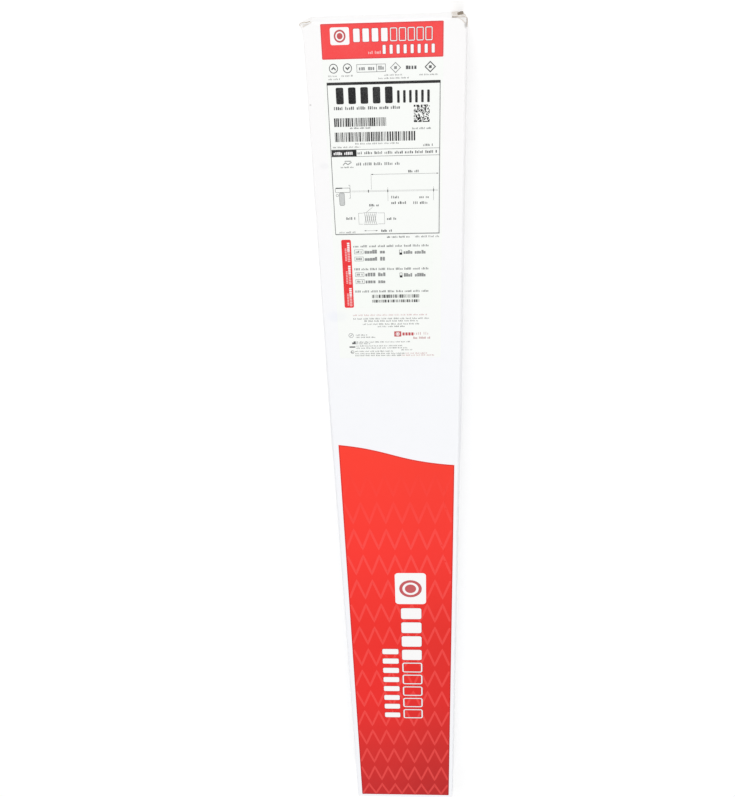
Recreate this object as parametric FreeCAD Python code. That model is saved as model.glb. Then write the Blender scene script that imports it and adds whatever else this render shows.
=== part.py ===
import FreeCAD, Part
import math
import os

# Long, narrow, sealed carton of a medical device. It lies on its back face, printed front face up,
# and carries one outer label and a block of three peel-off record labels.
# Frame: X across the front face, Y along the carton towards the labelled end, Z up from the rest
# face. Millimetres. The origin is the middle of the rest face.

# Carton: outside of the folded board
face_width = 135.0
carton_length = 1010.0
carton_depth = 50.0
board = 0.6
fold_radius = 1.4
end_fold_radius = 1.4

# Swell of the two long side faces, where the packed tray presses on the board.
# Each station is set by its distance from the labelled end.
swell_label_end = 1.8
swell_shoulder = 2.5
swell_peak = 3.6
swell_below_dent = 2.9
swell_far_end = 2.0
shoulder_from_end = 190.0
peak_from_end = 425.0
dent_length = 15.0

# End closures, three layers of board: the dust flaps of the side panels, the flap of the back
# panel folded up over them, and the flap of the front panel folded down over both and glued
front_flap_setback_left = 9.0
front_flap_setback_right = 11.0
front_flap_taper = 4.0
front_flap_foot_gap = 8.0
back_flap_setback = 5.0
back_flap_taper = 3.0
back_flap_height = 40.0

# Front panel corners at the labelled end, cut away down to the layer below
left_cut_width = 9.0
left_cut_start = 0.6
left_cut_length = 3.8
right_cut_width = 11.0
right_cut_start = 0.5
right_cut_length = 8.0
right_cut_shoulder_from_side = 3.2
right_cut_shoulder_from_end = 2.9
rim_drop = 0.2

# Glued long seam: the overlapping board ends just inside the left edge of the rest face
seam_inset = 4.0
seam_width = 0.8
seam_depth = 0.5

# Outer label, a stock size, stuck slightly askew
label_width = 101.6
label_length = 304.8
label_thickness = 0.2
label_corner_radius = 0.8
label_from_left_fold = 14.6
label_from_end = 1.5
label_turn = -0.2

# Peel-off record labels, in a block on the outer label
record_width = 85.0
record_length = 22.5
record_thickness = 0.1
record_corner_radius = 1.6
record_from_label_left = 8.3
record_from_label_top = 183.1
record_count = 3

half_width = face_width / 2
half_length = carton_length / 2
reach = 2 * (swell_peak + fold_radius)


def point(x, y, z):
    return FreeCAD.Vector(x, y, z)


def closed_face(edges):
    """A face inside one closed run of edges."""
    return Part.Face(Part.Wire(Part.__sortEdges__(edges)))


def line(a, b):
    return Part.LineSegment(a, b).toShape()


def arc(a, middle, b):
    return Part.Arc(a, middle, b).toShape()


def swell_at(from_end):
    """Crown of the side faces at a distance from the labelled end, straight between stations."""
    stations = [
        (0.0, swell_label_end),
        (shoulder_from_end, swell_shoulder),
        (peak_from_end, swell_peak),
        (peak_from_end + dent_length, swell_below_dent),
        (carton_length, swell_far_end),
    ]
    for (near, near_swell), (far, far_swell) in zip(stations, stations[1:]):
        if from_end <= far:
            share = (from_end - near) / (far - near)
            return near_swell + share * (far_swell - near_swell)
    return swell_far_end


def section(y, inset):
    """One closed cross-section: flat front and rest face, rounded folds, crowned side faces.

    inset draws both side faces inwards, where they turn over into the dust flaps.
    """
    swell = swell_at(half_length - y)
    side = half_width - inset
    low = 0.0
    high = carton_depth
    middle = carton_depth / 2
    radius = fold_radius
    slant = radius * (1 - math.sqrt(0.5))
    edges = []
    for hand in (1, -1):
        foot = point(hand * (side - radius), y, low)
        foot_fold = point(hand * (side - slant), y, low + slant)
        side_low = point(hand * side, y, low + radius)
        crown = point(hand * (side + swell), y, middle)
        side_high = point(hand * side, y, high - radius)
        head_fold = point(hand * (side - slant), y, high - slant)
        head = point(hand * (side - radius), y, high)
        edges += [arc(foot, foot_fold, side_low), arc(side_low, crown, side_high),
                  arc(side_high, head_fold, head)]
    edges.append(line(point(side - radius, y, high), point(-side + radius, y, high)))
    edges.append(line(point(side - radius, y, low), point(-side + radius, y, low)))
    return Part.Wire(Part.__sortEdges__(edges))


def tube_body():
    """The folded tube with its dust flaps closed, lofted through the swell stations.

    Its two ends lie under the two closure flaps, and the folds of the dust flaps are rounded in steps.
    """
    end = half_length - 2 * board
    steps = [math.radians(angle) for angle in (0, 30, 60, 90)]
    rounding = [(end - fold_radius * (1 - math.sin(a)), fold_radius * (1 - math.cos(a))) for a in steps]
    stations = [(-y, inset) for y, inset in reversed(rounding)]
    for from_end in (peak_from_end + dent_length, peak_from_end, shoulder_from_end):
        stations.append((half_length - from_end, 0.0))
    stations += rounding
    return Part.makeLoft([section(y, inset) for y, inset in stations], True, True)


def flap_plate(left, right, taper, root_z, tip_z, inner_y, outer_y):
    """A closure flap as a plate that narrows from its fold at root_z to its free edge at tip_z."""
    corners = [point(left, inner_y, root_z), point(right, inner_y, root_z),
               point(right - taper, inner_y, tip_z), point(left + taper, inner_y, tip_z)]
    outline = [line(a, b) for a, b in zip(corners, corners[1:] + corners[:1])]
    return closed_face(outline).extrude(point(0, outer_y - inner_y, 0))


def end_fold(outer_y, hand_z):
    """Everything inside a rounded fold between the end and the front (1) or rest face (-1)."""
    slant = end_fold_radius * (1 - math.sqrt(0.5))
    face_z = carton_depth if hand_z > 0 else 0.0
    other_z = carton_depth - face_z
    x = -half_width - reach
    root = outer_y - 4 * end_fold_radius
    start = point(x, outer_y - end_fold_radius, face_z)
    middle = point(x, outer_y - slant, face_z - hand_z * slant)
    finish = point(x, outer_y, face_z - hand_z * end_fold_radius)
    corners = [finish, point(x, outer_y, other_z), point(x, root, other_z), point(x, root, face_z), start]
    outline = [arc(start, middle, finish)] + [line(a, b) for a, b in zip(corners, corners[1:])]
    return closed_face(outline).extrude(point(2 * (half_width + reach), 0, 0))


def front_flap():
    """The outer flap: it carries on from the front face, over the fold and down the end."""
    plate = flap_plate(-half_width + front_flap_setback_left, half_width - front_flap_setback_right,
                       front_flap_taper, carton_depth, front_flap_foot_gap,
                       half_length - 3 * end_fold_radius, half_length)
    return plate.common(end_fold(half_length, 1))


def back_flap():
    """The flap under it, folded up from the rest face, one board further in."""
    plate = flap_plate(-half_width + back_flap_setback, half_width - back_flap_setback, back_flap_taper,
                       0.0, back_flap_height, half_length - board - 3 * end_fold_radius,
                       half_length - board)
    return plate.common(end_fold(half_length - board, -1))


def prism(outline_points, base, height):
    """An upright prism over straight-sided points in the plan."""
    corners = [point(x, y, base) for x, y in outline_points]
    return closed_face([line(a, b) for a, b in zip(corners, corners[1:] + corners[:1])]).extrude(
        point(0, 0, height))


def left_corner_cut():
    """A straight cut across the front panel's left corner, one board deep."""
    inner = (-half_width + left_cut_width, half_length - left_cut_start)
    outer = (-half_width, half_length - left_cut_length)
    beyond_side = -half_width - reach
    beyond_end = half_length + reach
    outline = [inner, outer, (beyond_side, outer[1]), (beyond_side, beyond_end), (inner[0], beyond_end)]
    return prism(outline, carton_depth - board, 2 * board)


def right_corner_cut(base, rim):
    """What lies outside the front panel's rounded right corner, from a height up.

    rim is the width of raw board edge left standing along the side face and the end, or None.
    """
    start = point(half_width - right_cut_width, half_length - right_cut_start, base)
    shoulder = point(half_width - right_cut_shoulder_from_side,
                     half_length - right_cut_shoulder_from_end, base)
    finish = point(half_width, half_length - right_cut_length, base)
    corners = [finish, point(half_width + reach, finish.y, base),
               point(half_width + reach, half_length + reach, base), point(start.x, half_length + reach, base),
               start]
    outline = [arc(start, shoulder, finish)] + [line(a, b) for a, b in zip(corners, corners[1:])]
    tool = closed_face(outline).extrude(point(0, 0, 2 * board))
    if rim is None:
        return tool
    inside_rim = [(start.x - rim, finish.y - rim), (half_width - rim, finish.y - rim),
                  (half_width - rim, half_length - 2 * board - rim),
                  (start.x - rim, half_length - 2 * board - rim)]
    return tool.common(prism(inside_rim, base, 2 * board))


def carton():
    """The sealed carton as one solid: tube, closure flaps, cut corners and the glued seam."""
    solid = tube_body()
    for flap in (front_flap(), back_flap()):
        solid = solid.fuse(flap).fuse(flap.mirror(point(0, 0, 0), point(0, 1, 0)))
    solid = solid.cut(left_corner_cut())
    solid = solid.cut(right_corner_cut(carton_depth - rim_drop, None))
    solid = solid.cut(right_corner_cut(carton_depth - board, board))
    seam = Part.makeBox(seam_width, carton_length + 2 * board, seam_depth)
    seam.translate(point(-half_width + seam_inset, -half_length - board, 0))
    return solid.cut(seam)


def sticker(left, top, width, length, base, thickness, radius):
    """A thin rounded rectangle, placed by its left and top edges in label coordinates."""
    plate = Part.makeBox(width, length, thickness, point(left, -top - length, base))
    upright = [edge for edge in plate.Edges if abs(edge.tangentAt(edge.FirstParameter).z) > 0.9]
    return plate.makeFillet(radius, upright)


def on_label(shape):
    """Carries a shape from label coordinates to its place on the front face."""
    shape.rotate(point(0, 0, 0), point(0, 0, 1), label_turn)
    shape.translate(point(-half_width + label_from_left_fold, half_length - label_from_end, 0))
    return shape


def main_label():
    return on_label(sticker(0, 0, label_width, label_length, carton_depth, label_thickness,
                            label_corner_radius))


def record_label(number):
    """One of the record labels, which meet along their kiss cuts."""
    top = record_from_label_top + number * record_length
    base = carton_depth + label_thickness
    return on_label(sticker(record_from_label_left, top, record_width, record_length, base,
                            record_thickness, record_corner_radius))


def write(node, shape):
    if not shape.isValid():
        raise ValueError("invalid solid: " + node)
    solids = shape.Solids
    if len(solids) != 1:
        raise ValueError("not one solid: " + node)
    solids[0].exportStep("parts/" + node + ".step")


os.makedirs("parts", exist_ok=True)
write("carton", carton())
write("main_label", main_label())
for number in range(record_count):
    write("record_label_" + str(number + 1), record_label(number))
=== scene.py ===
"""Dresses the sealed carton of a medical device: its board, its labels and a generic print.

Every size below is in millimetres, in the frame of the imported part: X across the printed face, Y along
the carton towards its labelled end, Z up from the rest face. Meshes are written in metres.
Print is laid out on two planes: the printed face of the carton, measured from its left fold and its
labelled end, and the outer label, measured from the label's top left corner.
"""

import logging
import math
from dataclasses import dataclass, field
from enum import Enum
from typing import Any, ClassVar, Mapping, Sequence

import bpy
import numpy as np
from mathutils import Matrix, Vector

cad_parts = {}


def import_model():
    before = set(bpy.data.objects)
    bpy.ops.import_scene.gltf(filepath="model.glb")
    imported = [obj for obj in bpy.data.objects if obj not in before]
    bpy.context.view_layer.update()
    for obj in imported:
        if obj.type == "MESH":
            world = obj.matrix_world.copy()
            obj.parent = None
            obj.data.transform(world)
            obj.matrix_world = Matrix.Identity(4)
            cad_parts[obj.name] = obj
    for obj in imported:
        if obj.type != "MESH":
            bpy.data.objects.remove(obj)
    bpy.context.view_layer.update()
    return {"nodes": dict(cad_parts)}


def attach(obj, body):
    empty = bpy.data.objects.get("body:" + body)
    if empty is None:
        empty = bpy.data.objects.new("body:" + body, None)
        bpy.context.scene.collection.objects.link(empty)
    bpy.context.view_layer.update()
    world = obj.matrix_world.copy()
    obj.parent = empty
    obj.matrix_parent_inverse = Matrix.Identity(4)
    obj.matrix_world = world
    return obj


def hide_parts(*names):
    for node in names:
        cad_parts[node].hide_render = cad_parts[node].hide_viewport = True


LOG = logging.getLogger("carton")
METRE = 0.001
Array = np.ndarray
Socket = bpy.types.NodeSocket
Colour = tuple[float, float, float, float]
Box = tuple[float, float, float, float]
Flat = Sequence[Sequence[float]] | Array


def tone(red: float, green: float, blue: float) -> Colour:
    """Turns a screen colour of 0 to 255 into the linear colour that a shader socket takes.

    Args:
        red: Red as it looks on screen.
        green: Green as it looks on screen.
        blue: Blue as it looks on screen.

    Returns:
        The linear colour, with an alpha of one.
    """
    steps = np.array([red, green, blue]) / 255.0
    linear = np.where(steps <= 0.04045, steps / 12.92, ((steps + 0.055) / 1.055) ** 2.4)
    return (float(linear[0]), float(linear[1]), float(linear[2]), 1.0)


# Shader nodes


class Graph:
    """Adds nodes to one shader tree, with their inputs given by name."""

    def __init__(self, tree: bpy.types.NodeTree) -> None:
        """Keeps the tree that the nodes go into."""
        self.tree = tree

    def add(self, kind: str, inputs: Mapping[str | int, Any] | None = None,
            **settings: Any) -> bpy.types.Node:
        """Adds one node.

        Args:
            kind: The node's type name.
            inputs: Values or sockets by input name or number.
            settings: Properties set on the node itself.

        Returns:
            The node.
        """
        node = self.tree.nodes.new(kind)
        for name, value in settings.items():
            setattr(node, name, value)
        for name, value in (inputs or {}).items():
            if isinstance(value, Socket):
                self.join(value, node, name)
            else:
                node.inputs[name].default_value = value
        return node

    def join(self, value: Socket, node: bpy.types.Node, name: str) -> None:
        """Links a value into a node's input."""
        self.tree.links.new(value, node.inputs[name])

    def math(self, operation: str, first: Any, second: Any = 0.0) -> Socket:
        """One Math node on two values or sockets; its result."""
        return self.add("ShaderNodeMath", {0: first, 1: second}, operation=operation).outputs[0]

    def vector(self, operation: str, first: Any, second: Any = (0.0, 0.0, 0.0)) -> bpy.types.Node:
        """One Vector Math node on two points or sockets; the node."""
        return self.add("ShaderNodeVectorMath", {0: first, 1: second}, operation=operation)

    def blend(self, share: Any, first: Any, second: Any, mode: str = "MIX") -> Socket:
        """Mixes two colours by a share of the second; the mixed colour."""
        node = self.add("ShaderNodeMix", {0: share, 6: first, 7: second}, data_type="RGBA", blend_type=mode)
        return node.outputs[2]

    def axis(self, point: Socket, name: str) -> Socket:
        """One coordinate of a point, by its letter."""
        return self.add("ShaderNodeSeparateXYZ", {0: point}).outputs[name]

    def ramp(self, value: Socket, low: float, high: float, start: float = 0.0, end: float = 1.0) -> Socket:
        """Maps low..high smoothly onto start..end and holds it beyond; the mapped value."""
        node = self.add("ShaderNodeMapRange", {0: value, 1: low, 2: high, 3: start, 4: end},
                        interpolation_type="SMOOTHSTEP")
        return node.outputs[0]

    def place(self) -> Socket:
        """The point on the piece, in metres in the part's frame."""
        return self.add("ShaderNodeTexCoord").outputs["Object"]

    def noise(self, point: Socket, scale: float, detail: float = 2.0) -> Socket:
        """Soft noise from 0 to 1 at so many waves a metre; its value."""
        node = self.add("ShaderNodeTexNoise", {"Vector": point, "Scale": scale, "Detail": detail})
        return node.outputs["Fac"]


class NodeGroup:
    """A shader node group with named sockets, built once and placed in many materials."""

    def __init__(self, name: str, inputs: Mapping[str, str], outputs: Mapping[str, str]) -> None:
        """Makes the group and its sockets.

        Args:
            name: The group's name.
            inputs: Socket types by input name.
            outputs: Socket types by output name.
        """
        self.tree = bpy.data.node_groups.new(name, "ShaderNodeTree")
        for label, kind in inputs.items():
            self.tree.interface.new_socket(name=label, in_out="INPUT", socket_type=kind)
        for label, kind in outputs.items():
            self.tree.interface.new_socket(name=label, in_out="OUTPUT", socket_type=kind)
        self.graph = Graph(self.tree)
        self.given = self.tree.nodes.new("NodeGroupInput").outputs
        self.result = self.tree.nodes.new("NodeGroupOutput").inputs

    def give(self, name: str, value: Socket) -> None:
        """Joins a value to one of the group's outputs."""
        self.tree.links.new(value, self.result[name])

    def into(self, graph: Graph, inputs: Mapping[str, Any]) -> bpy.types.Node:
        """Places the group in a material's graph with its own inputs; the group node."""
        return graph.add("ShaderNodeGroup", inputs, node_tree=self.tree)


VALUE = "NodeSocketFloat"
COLOUR = "NodeSocketColor"
VECTOR = "NodeSocketVector"


class Effects:
    """The node groups that more than one finish uses."""

    def __init__(self) -> None:
        """Builds each group once."""
        self.grain = self._grain()
        self.spot = self._spot()
        self.ink = self._ink()
        self.panel_red = self._panel_red()

    def _grain(self) -> NodeGroup:
        """Fibre grain of board and paper: cloudy formation with fine fibres laid along the carton."""
        group = NodeGroup("fibre_grain", {"Point": VECTOR, "Depth": VALUE}, {"Shade": VALUE, "Height": VALUE})
        graph = group.graph
        cloud = graph.noise(group.given["Point"], scale=90.0, detail=4.0)
        along = graph.add("ShaderNodeMapping", {"Vector": group.given["Point"], "Scale": (1.0, 0.22, 1.0)})
        fibre = graph.noise(along.outputs[0], scale=2600.0, detail=3.0)
        mixed = graph.math("ADD", graph.math("MULTIPLY", cloud, 0.6), graph.math("MULTIPLY", fibre, 0.4))
        swing = graph.math("MULTIPLY", graph.math("SUBTRACT", mixed, 0.5), group.given["Depth"])
        group.give("Shade", graph.math("ADD", swing, 1.0))
        group.give("Height", fibre)
        return group

    def _spot(self) -> NodeGroup:
        """An oval patch with a soft, uneven edge: 1 at its centre, 0 outside its two half sizes."""
        group = NodeGroup("soft_spot", {"Point": VECTOR, "Centre": VECTOR, "Half Size": VECTOR,
                                        "Ragged": VALUE}, {"Mask": VALUE})
        graph = group.graph
        away = graph.vector("SUBTRACT", group.given["Point"], group.given["Centre"]).outputs[0]
        share = graph.vector("DIVIDE", away, group.given["Half Size"]).outputs[0]
        reach = graph.vector("LENGTH", share).outputs["Value"]
        rough = graph.noise(group.given["Point"], scale=600.0, detail=3.0)
        ragged = graph.math("MULTIPLY", rough, group.given["Ragged"])
        group.give("Mask", graph.ramp(graph.math("ADD", reach, ragged), 0.35, 1.0, 1.0, 0.0))
        return group

    def _ink(self) -> NodeGroup:
        """Printed ink: its colour lies a little unevenly on the fibres, more so where it is thin."""
        group = NodeGroup("ink_lay", {"Point": VECTOR, "Colour": COLOUR, "Paper": COLOUR, "Thin": VALUE},
                          {"Colour": COLOUR, "Height": VALUE})
        graph = group.graph
        fine = graph.noise(group.given["Point"], scale=1500.0, detail=3.0)
        broad = graph.noise(group.given["Point"], scale=60.0, detail=2.0)
        pattern = graph.math("ADD", graph.math("MULTIPLY", fine, 0.7), graph.math("MULTIPLY", broad, 0.3))
        bare = graph.math("MULTIPLY", graph.ramp(pattern, 0.35, 0.75), group.given["Thin"])
        group.give("Colour", graph.blend(bare, group.given["Colour"], group.given["Paper"]))
        group.give("Height", fine)
        return group

    def _panel_red(self) -> NodeGroup:
        """The panel's red along the carton: bright at its top, deeper towards the foot and the right edge."""
        group = NodeGroup("panel_red", {"Point": VECTOR}, {"Colour": COLOUR})
        graph = group.graph
        point = group.given["Point"]
        top_y, foot_y = (0.095, -0.505)
        along = graph.add("ShaderNodeMapRange", {0: graph.axis(point, "Y"), 1: top_y, 2: foot_y}).outputs[0]
        ramp = graph.add("ShaderNodeValToRGB", {0: along})
        stops = {0.0: tone(253, 65, 50), 0.25: tone(251, 56, 48), 0.45: tone(240, 47, 40),
                 0.66: tone(238, 44, 40), 0.83: tone(215, 42, 40), 1.0: tone(194, 36, 37)}
        band = ramp.color_ramp
        for spot, colour in list(stops.items())[1:-1]:
            band.elements.new(spot).color = colour
        band.elements[0].color = stops[0.0]
        band.elements[-1].color = stops[1.0]
        depth = graph.ramp(along, 0.2, 0.6, 0.03, 0.12)
        across = graph.ramp(graph.axis(point, "X"), -0.03, 0.05)
        right = graph.math("SUBTRACT", 1.01, graph.math("MULTIPLY", depth, across))
        group.give("Colour", graph.blend(1.0, ramp.outputs["Color"], right, "MULTIPLY"))
        return group


# Finishes


@dataclass(frozen=True)
class Finish:
    """What every finish has: a name and how it takes light."""

    name: str
    roughness: float
    specular: float

    def start(self) -> tuple[bpy.types.Material, Graph, bpy.types.Node]:
        """Makes the material with one Principled shader.

        Returns:
            The material, its graph and its shader.
        """
        material = bpy.data.materials.new(self.name)
        material.use_nodes = True
        graph = Graph(material.node_tree)
        shader = material.node_tree.nodes["Principled BSDF"]
        shader.inputs["Specular IOR Level"].default_value = self.specular
        shader.inputs["Roughness"].default_value = self.roughness
        return material, graph, shader

    def coat(self, graph: Graph, shader: bpy.types.Node, colour: Socket, height: Socket,
             relief: float) -> None:
        """Feeds the shader its colour, and its normal from a height of 0 to 1.

        Args:
            graph: The material's graph.
            shader: The material's shader.
            colour: The surface's colour.
            height: The surface's height.
            relief: How many millimetres deep the height is.
        """
        node = graph.add("ShaderNodeBump", {"Height": height, "Distance": relief * METRE, "Strength": 1.0})
        graph.join(colour, shader, "Base Color")
        graph.join(node.outputs[0], shader, "Normal")


@dataclass(frozen=True)
class Spot:
    """A soft patch of colour on a surface: its centre and half sizes in millimetres, its colour and how
    strong it is.
    """

    centre: tuple[float, float, float]
    half: tuple[float, float, float]
    colour: Colour
    strength: float
    ragged: float = 0.4


def add_spots(graph: Graph, effects: Effects, point: Socket, colour: Socket,
              spots: Sequence[Spot]) -> Socket:
    """Lays soft spots over a colour; the new colour."""
    for spot in spots:
        mask = effects.spot.into(graph, {
            "Point": point, "Centre": tuple(v * METRE for v in spot.centre),
            "Half Size": tuple(v * METRE for v in spot.half), "Ragged": spot.ragged}).outputs[0]
        colour = graph.blend(graph.math("MULTIPLY", mask, spot.strength), colour, spot.colour)
    return colour


@dataclass(frozen=True)
class BoardFinish(Finish):
    """White coated board with kraft fibre where its raw attribute is 1, and dark brown where its attribute of
    grime and painted shade is 1.

    The white is a little warmer towards the labelled end and cooler from the panel down.
    """

    white: Colour = tone(248, 249, 252)
    warm: Colour = tone(251, 250, 250)
    kraft: Colour = tone(220, 207, 190)
    # Dark brown: mottles the kraft fibre, and is laid where the attribute of grime and painted shade is 1.
    grime_and_shade: Colour = tone(104, 92, 80)
    grain_depth: float = 0.035
    raw_roughness: float = 0.9
    relief: float = 0.006
    spots: tuple[Spot, ...] = ()

    def make(self, effects: Effects) -> bpy.types.Material:
        """Builds the material.

        Args:
            effects: The shared node groups.

        Returns:
            The material.
        """
        material, graph, shader = self.start()
        point = graph.place()
        grain = effects.grain.into(graph, {"Point": point, "Depth": self.grain_depth})
        ground = graph.blend(graph.ramp(graph.axis(point, "Y"), 0.1, 0.46), self.white, self.warm)
        colour = graph.blend(1.0, ground, grain.outputs["Shade"], "MULTIPLY")
        colour = add_spots(graph, effects, point, colour, self.spots)
        raw = graph.add("ShaderNodeAttribute", attribute_name="raw").outputs["Fac"]
        # Dark brown by the attribute of grime and painted shade: grime on raw edges, painted shade in gaps
        # and in the dark plug at the labelled end.
        grime_and_shade_mask = graph.add("ShaderNodeAttribute", attribute_name="grime_and_shade").outputs["Fac"]
        fibre = graph.noise(point, scale=1900.0, detail=4.0)
        kraft = graph.blend(graph.ramp(fibre, 0.3, 0.7, 0.0, 0.5), self.kraft, self.grime_and_shade)
        colour = graph.blend(raw, colour, kraft)
        grime_and_shade_mask = graph.math("MULTIPLY", grime_and_shade_mask, graph.ramp(fibre, 0.2, 0.6, 0.75, 1.0))
        colour = graph.blend(grime_and_shade_mask, colour, self.grime_and_shade)
        rough = graph.math("MULTIPLY", raw, self.raw_roughness - self.roughness)
        graph.join(graph.math("ADD", rough, self.roughness), shader, "Roughness")
        self.coat(graph, shader, colour, grain.outputs["Height"], self.relief)
        return material


@dataclass(frozen=True)
class PaperFinish(Finish):
    """Label stock: smooth paper, a little warmer than the board."""

    colour: Colour = tone(250, 251, 249)
    grain_depth: float = 0.02
    relief: float = 0.003
    spots: tuple[Spot, ...] = ()

    def make(self, effects: Effects) -> bpy.types.Material:
        """Builds the material from the shared node groups."""
        material, graph, shader = self.start()
        point = graph.place()
        grain = effects.grain.into(graph, {"Point": point, "Depth": self.grain_depth})
        colour = graph.blend(1.0, self.colour, grain.outputs["Shade"], "MULTIPLY")
        colour = add_spots(graph, effects, point, colour, self.spots)
        self.coat(graph, shader, colour, grain.outputs["Height"], self.relief)
        return material


@dataclass(frozen=True)
class InkFinish(Finish):
    """One flat printing ink on paper or board."""

    colour: Colour = tone(20, 20, 22)
    paper: Colour = tone(250, 251, 249)
    thin: float = 0.08
    relief: float = 0.002

    def make(self, effects: Effects) -> bpy.types.Material:
        """Builds the material from the shared node groups."""
        material, graph, shader = self.start()
        lay = effects.ink.into(graph, {"Point": graph.place(), "Colour": self.colour, "Paper": self.paper,
                                       "Thin": self.thin})
        self.coat(graph, shader, lay.outputs["Colour"], lay.outputs["Height"], self.relief)
        return material


@dataclass(frozen=True)
class PanelInkFinish(Finish):
    """The panel's red, and the paler red of its line pattern, which fades out towards the top."""

    pale: Colour = tone(255, 92, 88)
    pale_share: float = 0.0
    fade_from: float = 75.0
    fade_to: float = -60.0
    thin: float = 0.05
    relief: float = 0.002

    def make(self, effects: Effects) -> bpy.types.Material:
        """Builds the material from the shared node groups."""
        material, graph, shader = self.start()
        point = graph.place()
        red = effects.panel_red.into(graph, {"Point": point}).outputs[0]
        if self.pale_share > 0.0:
            along = graph.axis(point, "Y")
            share = graph.ramp(along, self.fade_from * METRE, self.fade_to * METRE, 0.0, self.pale_share)
            red = graph.blend(share, red, self.pale)
        lay = effects.ink.into(graph, {"Point": point, "Colour": red, "Paper": self.pale, "Thin": self.thin})
        self.coat(graph, shader, lay.outputs["Colour"], lay.outputs["Height"], self.relief)
        return material


class Ink(Enum):
    """The inks of the print."""

    BLACK = InkFinish("ink_black", 0.55, 0.2, tone(14, 14, 16))
    TEXT = InkFinish("ink_text", 0.6, 0.2, tone(70, 72, 74), thin=0.25)
    GREY = InkFinish("ink_grey", 0.6, 0.2, tone(128, 130, 130), thin=0.3)
    PALE_GREY = InkFinish("ink_pale_grey", 0.6, 0.2, tone(196, 199, 198), thin=0.3)
    RED = InkFinish("ink_label_red", 0.5, 0.1, tone(247, 77, 78), thin=0.04)
    DEEP_RED = InkFinish("ink_strip_red", 0.5, 0.1, tone(236, 50, 54), thin=0.04)
    DARK_RED = InkFinish("ink_dark_red", 0.5, 0.1, tone(198, 86, 90), thin=0.05)
    PALE_RED = InkFinish("ink_pale_red", 0.55, 0.1, tone(248, 184, 184), thin=0.2)
    WHITE = InkFinish("ink_white", 0.5, 0.2, tone(251, 250, 250), thin=0.02)
    PANEL = PanelInkFinish("ink_panel_red", 0.5, 0.1)
    PANEL_LINE = PanelInkFinish("ink_panel_lines", 0.5, 0.1, pale_share=0.46)
    PANEL_EDGE = PanelInkFinish("ink_panel_edge", 0.5, 0.1, tone(140, 34, 40), 0.3, 600.0, 560.0)
    RED_EDGE = InkFinish("ink_label_edge", 0.5, 0.1, tone(226, 74, 78), thin=0.04)
    RIM = InkFinish("ink_block_rim", 0.5, 0.1, tone(160, 56, 62), thin=0.1)
    FAINT_RED = InkFinish("ink_faint_red", 0.55, 0.1, tone(205, 168, 168), thin=0.2)


class Shelf:
    """Keeps each material once it is made."""

    def __init__(self, effects: Effects) -> None:
        """Starts with no materials and the shared node groups."""
        self.effects = effects
        self.kept: dict[str, bpy.types.Material] = {}

    def take(self, finish: Any) -> bpy.types.Material:
        """The finish's material, made on first use."""
        if finish.name not in self.kept:
            self.kept[finish.name] = finish.make(self.effects)
        return self.kept[finish.name]


# Meshes


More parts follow.
